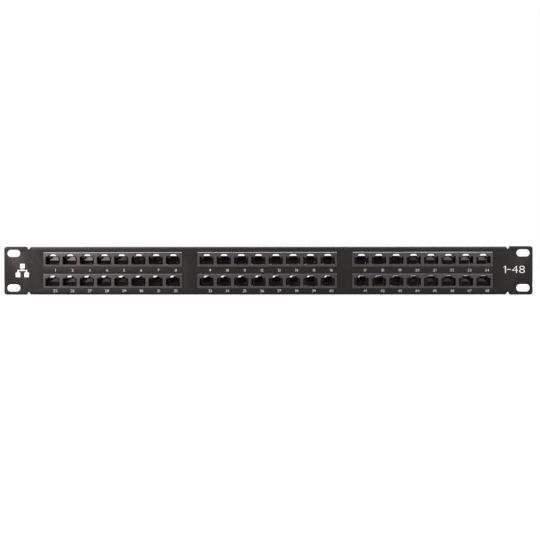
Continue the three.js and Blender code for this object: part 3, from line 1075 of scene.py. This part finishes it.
BLADE_THICKNESS = 0.4
BLADE_GAP = 0.12
BLADE_HALF = 0.7
BLADE_DROP = 2.3
# Places on a blade measured from its foot or from its tip.
BLADE_FOOT = 0.3
FORK_FLOOR = 1.2
TIP_X = 0.45
TIP_OUTER = 0.5
TIP_INNER = 0.8


def blade(x, z, rear):
    """A forked metal blade across one wire slot."""
    foot = BLOCK_START + WIRE_SLOT_FLOOR - BLADE_FOOT
    tip = rear - BLADE_DROP
    right = [
        (BLADE_HALF, foot),
        (BLADE_HALF, tip - TIP_OUTER),
        (TIP_X, tip),
        (BLADE_GAP, tip - TIP_INNER),
        (BLADE_GAP, foot + FORK_FLOOR),
    ]
    outline = [(x + away, y) for away, y in right]
    outline += [(x - away, y) for away, y in reversed(right)]
    return upright_prism(outline, z - BLADE_THICKNESS / 2, z + BLADE_THICKNESS / 2)


def blades_mesh(row):
    low, high = block_box(row)
    centre = middle(low.z, high.z)
    row_depth = (high.z - low.z - CHANNEL) / 2
    port = Body()
    for side in (-1, 1):
        z = centre + side * (CHANNEL + row_depth) / 2
        for x in SLOT_PLACES:
            port.add(blade(x, z, high.y))
    return rows_of_ports(port).mesh(f"punch_down_blades_{row}_fine")


# ---- wiring labels

PATCH_HEIGHT = 1.15
PATCH_WIDTH = 2.0
PATCH_MARGIN = 0.15
# The height of a stripe, as a share of a full patch's.
STRIPE = 0.35
INK_THICKNESS = 0.03
PATCH_ORDER = (("blue", "orange"), ("green", "brown"))


def label_box(row):
    return local_box(f"wiring_label_{row}_centre", row)


def label_mesh(row):
    low, high = label_box(row)
    rear = high.y - INK_THICKNESS
    strip = slab(low.x, high.x, low.y, rear, low.z, high.z, 0.5, 0.04)
    return strip.mesh(f"wiring_label_{row}_fine")


def patches_mesh(row, color):
    """The printed marks of one wire colour: a thin stripe for its white partner, and a full patch."""
    low, high = label_box(row)
    centre = middle(low.z, high.z)
    front = high.y - INK_THICKNESS
    port = Body()
    half_width = PATCH_WIDTH / 2
    for line, colors in zip((1, -1), PATCH_ORDER):
        if color not in colors:
            continue
        z = centre + line * ((high.z - low.z - PATCH_HEIGHT) / 2 - PATCH_MARGIN)
        first = 2 * colors.index(color)
        for x, half in zip(SLOT_PLACES[first:], (PATCH_HEIGHT * STRIPE / 2, PATCH_HEIGHT / 2)):
            port.add(slab(x - half_width, x + half_width, front, high.y, z - half, z + half, 0.1, 0.005))
    return rows_of_ports(port).mesh(f"{color}_patches_{row}_fine")


# ---- screws

SHANK_RADIUS = 1.35
SHANK_TAPER = 0.6
SHANK_TIP = 0.05
# The head's side rises straight for this share of its height, and its dome rounds off the
# same share of its radius.
HEAD_SIDE = 0.55
HEAD_EDGE = 0.15
CROSS_REACH = 1.45
CROSS_HALF = 0.3
CROSS_FLOOR = 0.3
CROSS_OVERCUT = 0.1


def screw_mesh():
    """A pan-head screw with a cross recess, on the axis through the origin."""
    seat = BLOCK_START
    head = (SCREW_HIGH.z - SCREW_LOW.z) / 2
    rise = SCREW_HIGH.y - seat
    tip = SCREW_LOW.y
    profile = [(SHANK_TIP, tip), (SHANK_RADIUS * 0.75, tip)]
    profile += [(SHANK_RADIUS, tip + SHANK_TAPER), (SHANK_RADIUS, seat)]
    profile += [(head - HEAD_EDGE, seat), (head, seat + HEAD_EDGE), (head, seat + HEAD_SIDE * rise)]
    for step in range(1, 7):
        turn = math.radians(15 * step)
        radius = head * (1 - HEAD_SIDE + HEAD_SIDE * math.cos(turn))
        profile.append((radius, seat + rise * (HEAD_SIDE + (1 - HEAD_SIDE) * math.sin(turn))))
    body = lofted([at_depth(circle(radius, 36), y) for radius, y in profile])
    level = cross_arm(CROSS_REACH, CROSS_HALF)
    upright = cross_arm(CROSS_HALF, CROSS_REACH)
    cross = combined(level, upright, "UNION", "cross")
    return combined(body, cross, "DIFFERENCE", "board_screw_fine")


def cross_arm(half_width, half_height):
    """One arm of the cross recess, which narrows towards its floor."""
    floor = BLOCK_START + CROSS_FLOOR
    mouth = SCREW_HIGH.y + CROSS_OVERCUT
    narrow = centred(half_width * 0.4, half_height * 0.8)
    return lofted([at_depth(narrow, floor), at_depth(centred(half_width, half_height), mouth)])


# ---- printed marks

def font_numeral(character, height, spread, boldness):
    """A numeral in Blender's own font, as a thin body centred on the origin, facing the front."""
    curve = bpy.data.curves.new("numeral", "FONT")
    curve.body = character
    curve.resolution_u = 6
    curve.extrude = 0.5
    curve.offset = boldness
    obj = scene_object("numeral", curve)
    mesh = final_mesh(obj, "numeral")
    bpy.data.objects.remove(obj)
    close_seams(mesh)
    points = [vertex.co for vertex in mesh.vertices]
    low = Vector([min(point[i] for point in points) for i in range(3)])
    high = Vector([max(point[i] for point in points) for i in range(3)])
    centre = (low + high) / 2
    rise = height / (high.y - low.y)
    thickness = INK_THICKNESS / (high.z - low.z)
    body = Body()
    for point in points:
        x, y, z = point - centre
        body.points.append(Vector((x * rise * spread, -z * thickness, y * rise)))
    body.faces = [tuple(face.vertices) for face in mesh.polygons]
    return body


def close_seams(mesh):
    """Joins the front, rear and sides of a numeral, which are made apart."""
    edit = bmesh.new()
    edit.from_mesh(mesh)
    bmesh.ops.remove_doubles(edit, verts=edit.verts, dist=1e-5)
    edit.to_mesh(mesh)
    edit.free()


# Sizes of the numerals' strokes and gaps, as shares of their height.
ONE_STROKE = 0.1
ONE_FLAG = 0.18
HYPHEN_LENGTH = 0.36
NUMERAL_GAP = 0.15


def numeral_one(height, spread):
    """The numeral 1: an upright with a slanted flag at its top."""
    half = ONE_STROKE * height * spread / 2
    reach = ONE_FLAG * height
    top = height / 2
    outline = [
        (half, -top),
        (half, top),
        (-half / 2, top),
        (-half - reach, top - reach),
        (-half - reach, top - reach - 2.4 * half),
        (-half, top - reach / 2),
        (-half, -top),
    ]
    return prism(outline, -INK_THICKNESS / 2, INK_THICKNESS / 2)


@lru_cache
def numeral(character, height, spread, boldness):
    """One numeral or hyphen."""
    if character == "1":
        return numeral_one(height, spread)
    if character == "-":
        half_length = HYPHEN_LENGTH * height * spread / 2
        half_stroke = ONE_STROKE * height / 2
        half_ink = INK_THICKNESS / 2
        return slab(-half_length, half_length, -half_ink, half_ink, -half_stroke, half_stroke, 0.05, 0.01)
    return font_numeral(character, height, spread, boldness)


def numerals(characters, height, spread=1.0, boldness=0.0):
    """A row of numerals centred on the origin, facing the front."""
    glyphs = [numeral(character, height, spread, boldness) for character in characters]
    lows = [min(point.x for point in glyph.points) for glyph in glyphs]
    highs = [max(point.x for point in glyph.points) for glyph in glyphs]
    gap = NUMERAL_GAP * height * spread
    x = -(sum(highs) - sum(lows) + gap * (len(glyphs) - 1)) / 2
    row = Body()
    for glyph, low, high in zip(glyphs, lows, highs):
        row.add(glyph, (x - low, 0, 0))
        x += high - low + gap
    return row


NUMBER_HEIGHT = 2.35
NUMBER_SPREAD = 1.08
NUMBER_BOLDNESS = -0.008
NUMBER_DROP = {"upper": -9.82, "lower": -8.82}
NUMBER_SHIFT = {"left": 2.5, "centre": 3.2, "right": 3.25}


def first_number(row, column):
    return 1 + PORT_COUNT * (COLUMNS.index(column) + len(COLUMNS) * ROWS.index(row))


def numbers_mesh(row, column):
    """The printed numbers under a bank's ports."""
    body = Body()
    depth = SHEET_FRONT_FACE - INK_THICKNESS / 2
    for i, x in enumerate(PORT_CENTRES):
        words = str(first_number(row, column) + i)
        digits = numerals(words, NUMBER_HEIGHT, NUMBER_SPREAD, NUMBER_BOLDNESS)
        body.add(digits, (x + NUMBER_SHIFT[column], depth, NUMBER_DROP[row]))
    return body.mesh(f"port_numbers_{row}_{column}_fine")


LABEL_NUMBER_HEIGHT = 1.05


def label_numbers_mesh(row, column):
    """Port numbers in the middle of the rear label, read from behind."""
    low, high = label_box(row)
    body = Body()
    for i, x in enumerate(PORT_CENTRES):
        digits = numerals(str(first_number(row, column) + i), LABEL_NUMBER_HEIGHT)
        digits.points = [Vector((-point.x, -point.y, point.z)) for point in digits.points]
        body.add(digits, (x + BLOCK_OFFSET, high.y - INK_THICKNESS / 2, middle(low.z, high.z)))
    return body.mesh(f"label_numbers_{row}_{column}_fine")


EAR_MARK_X = 224.6
EAR_MARK_HEIGHT = 6.6
EAR_MARK_SPREAD = 1.25
EAR_MARK_BOLDNESS = -0.018
EAR_MARK_Z = 0.9
# The sign's squares stand this far from its middle, sideways and up or down.
SIGN_REACH = 4.0
SIGN_HALF_SQUARE = 2.1
SIGN_HALF_LINE = 0.45
SIGN_Z = 0.2


def print_on_ear(name, mesh, place_mm):
    obj = new_object(name, mesh, MATERIALS["white_ink"])
    obj.location = Vector(place_mm) * MM
    fix(obj)


def ear_text():
    name = "ear_port_range"
    body = numerals("1-48", EAR_MARK_HEIGHT, EAR_MARK_SPREAD, EAR_MARK_BOLDNESS)
    print_on_ear(name, body.mesh(name), (EAR_MARK_X, SHEET_FRONT_FACE - INK_THICKNESS / 2, EAR_MARK_Z))


def sign_slab(x0, x1, z0, z1, corner):
    return slab(x0, x1, SHEET_FRONT_FACE - INK_THICKNESS, SHEET_FRONT_FACE, z0, z1, corner, 0.01)


def ear_pictogram():
    """Three linked squares: a plain sign for a wired network."""
    half = SIGN_HALF_SQUARE
    line = SIGN_HALF_LINE
    reach = SIGN_REACH
    corner = 0.4
    parts = []
    for x, z in ((0, reach), (-reach, -reach), (reach, -reach)):
        parts.append(sign_slab(x - half, x + half, z - half, z + half, corner))
    corner = 0.05
    parts.append(sign_slab(-line, line, 0, reach - half + line, corner))
    parts.append(sign_slab(-reach - line, reach + line, -line, line, corner))
    for x in (-reach, reach):
        parts.append(sign_slab(x - line, x + line, half - reach - line, 0, corner))
    name = "ear_network_sign"
    sign = parts[0]
    for part in parts[1:]:
        sign = combined(sign, part, "UNION", name)
    print_on_ear(name, sign, (-EAR_MARK_X, 0, SIGN_Z))


# ---- the object

def place(kind, row, column, mesh, material, slot, node=None, body=ROOT, angle=35):
    """Puts a bank's mesh at its place, standing for the bank's own CAD node of some kind."""
    key = f"{row}_{column}"
    obj = new_object(f"{kind}_{key}", mesh, MATERIALS[material], angle)
    obj.location = CENTRES[row, column] * MM
    fix(obj, node and f"{node}_{key}", body)


def build_banks():
    carriers = carrier_mesh()
    wires = wires_mesh()
    screws = screw_mesh()
    for row in ROWS:
        housing = housing_mesh(row)
        block = block_mesh(row)
        blades = blades_mesh(row)
        label = label_mesh(row)
        patches = {color: patches_mesh(row, color) for color in WIRE_COLORS}
        for column in COLUMNS:
            bank = (row, column)
            place("fine_jack_housing", *bank, housing, "gloss", "black_gloss_plastic", "jack_housing")
            place("fine_contact_carrier", *bank, carriers, "comb", "grey_plastic", "contact_carrier")
            place("fine_contact_wires", *bank, wires, "gold", "contact_gold", "contact_springs",
                  body=f"contacts_{row}_{column}", angle=60)
            place("fine_punch_down_block", *bank, block, "matt", "black_matt_plastic", "punch_down_block")
            place("punch_down_blades", *bank, blades, "tin", "screw_steel")
            place("fine_wiring_label", *bank, label, "paper", "label_paper", "wiring_label")
            for color, mesh in patches.items():
                place(f"{color}_patches", *bank, mesh, color, "label_paper")
            place("port_numbers", *bank, numbers_mesh(row, column), "grey_ink", "black_paint")
            place("label_numbers", *bank, label_numbers_mesh(row, column), "black_ink", "label_paper")
            soften_cad_node(f"circuit_board_{row}_{column}", BOARD_EDGE, MATERIALS["board"])
            for node, place_mm in screw_places(row, column):
                screw = new_object(f"fine_{node}", screws, MATERIALS["zinc"])
                screw.location = place_mm * MM
                fix(screw, node)


def build_panel():
    panel = new_object("fine_front_panel", front_panel_mesh(), MATERIALS["paint"])
    fix(panel, "front_panel")
    ear_text()
    ear_pictogram()


# ---- floor, light and camera

# Half the floor's side in metres. Its glow rises with the distance from the object, in metres.
FLOOR_REACH = 12.0
FLOOR_GLOW = {"From Min": 0.15, "From Max": 1.0, "To Min": 0.25, "To Max": 1.05}


def build_floor():
    """A pale floor that fades into the white background."""
    mesh = bpy.data.meshes.new("floor")
    z = cad_bounds[0].z
    corners = [(x, y, z) for x, y in centred(FLOOR_REACH, FLOOR_REACH)]
    mesh.from_pydata(corners, [], [(0, 1, 2, 3)])
    material = bpy.data.materials.new("pale_floor")
    material.use_nodes = True
    tree = material.node_tree
    tree.nodes.clear()
    place_on_floor = add_node(tree, "ShaderNodeTexCoord").outputs["Object"]
    distance = add_node(tree, "ShaderNodeVectorMath", {0: place_on_floor}, operation="LENGTH")
    rise = add_node(tree, "ShaderNodeMapRange", {"Value": distance.outputs["Value"], **FLOOR_GLOW})
    glow = add_node(tree, "ShaderNodeEmission", {"Strength": rise.outputs["Result"]})
    diffuse = add_node(tree, "ShaderNodeBsdfDiffuse", {"Color": (0.25, 0.25, 0.25)})
    both = add_node(tree, "ShaderNodeAddShader", {0: diffuse.outputs[0], 1: glow.outputs[0]})
    add_node(tree, "ShaderNodeOutputMaterial", {"Surface": both.outputs[0]})
    mesh.materials.append(material)
    scene_object("floor", mesh)


def build_world():
    """White where the camera looks, and a softer grey for everything that lights the panel."""
    world = bpy.data.worlds.new("studio")
    bpy.context.scene.world = world
    world.use_nodes = True
    tree = world.node_tree
    background = tree.nodes["Background"]
    seen = add_node(tree, "ShaderNodeLightPath").outputs["Is Camera Ray"]
    strength = add_node(tree, "ShaderNodeMapRange", {"Value": seen, "To Min": 0.08, "To Max": 1.0})
    feed(tree, (1, 1, 1), background.inputs["Color"])
    feed(tree, strength.outputs["Result"], background.inputs["Strength"])


def area_light(name, place_at, target, width, height, radiance, color=(1, 1, 1)):
    """A soft rectangular light whose brightness is given as radiance, whatever its size."""
    light = bpy.data.lights.new(name, "AREA")
    light.shape = "RECTANGLE"
    light.size = width
    light.size_y = height
    light.color = color
    light.energy = radiance * math.pi * width * height
    obj = scene_object(name, light)
    obj.location = place_at
    direction = Vector(target) - Vector(place_at)
    obj.rotation_euler = direction.to_track_quat("-Z", "Y").to_euler()
    obj.visible_camera = False


def build_lights():
    area_light("left_softbox", (-0.4, -0.45, 0.245), (-0.4, 0, 0.245), 0.4, 0.31, 14.5, (1, 0.9, 0.89))
    area_light("right_softbox", (0.32, -0.45, 0.245), (0.32, 0, 0.245), 0.3, 0.31, 6.2, (1, 0.92, 0.93))
    area_light("overhead", (0, 0.05, 1.2), (0, 0.05, 0), 1.8, 0.4, 20.5, (1, 0.95, 0.98))
    area_light("rear_fill", (0.5, 1.5, 0.7), (0, 0, 0), 1.2, 0.9, 8.0)


CAMERA_DISTANCE = 1500.0
CAMERA_TURN = 1.85
CAMERA_ROLL = 0.04
CAMERA_TARGET = (2.6, 0.0, 0.46)
VIEW_WIDTH = 493.3


def build_camera():
    """A long lens at the panel's height, slightly to the right of its centre."""
    data = bpy.data.cameras.new("camera")
    data.sensor_width = 36.0
    data.lens = data.sensor_width * CAMERA_DISTANCE / VIEW_WIDTH
    data.clip_start = 0.01
    data.clip_end = 100.0
    camera = scene_object("camera", data)
    turn = math.radians(CAMERA_TURN)
    back = Vector((math.sin(turn), -math.cos(turn), 0))
    target = Vector(CAMERA_TARGET)
    camera.location = (target + back * CAMERA_DISTANCE) * MM
    level = (-back).to_track_quat("-Z", "Y")
    camera.rotation_euler = (level @ Quaternion((0, 0, 1), math.radians(-CAMERA_ROLL))).to_euler()
    bpy.context.scene.camera = camera


build_panel()
build_banks()
build_floor()
build_world()
build_lights()
build_camera()
bpy.context.scene.view_settings.view_transform = "Standard"
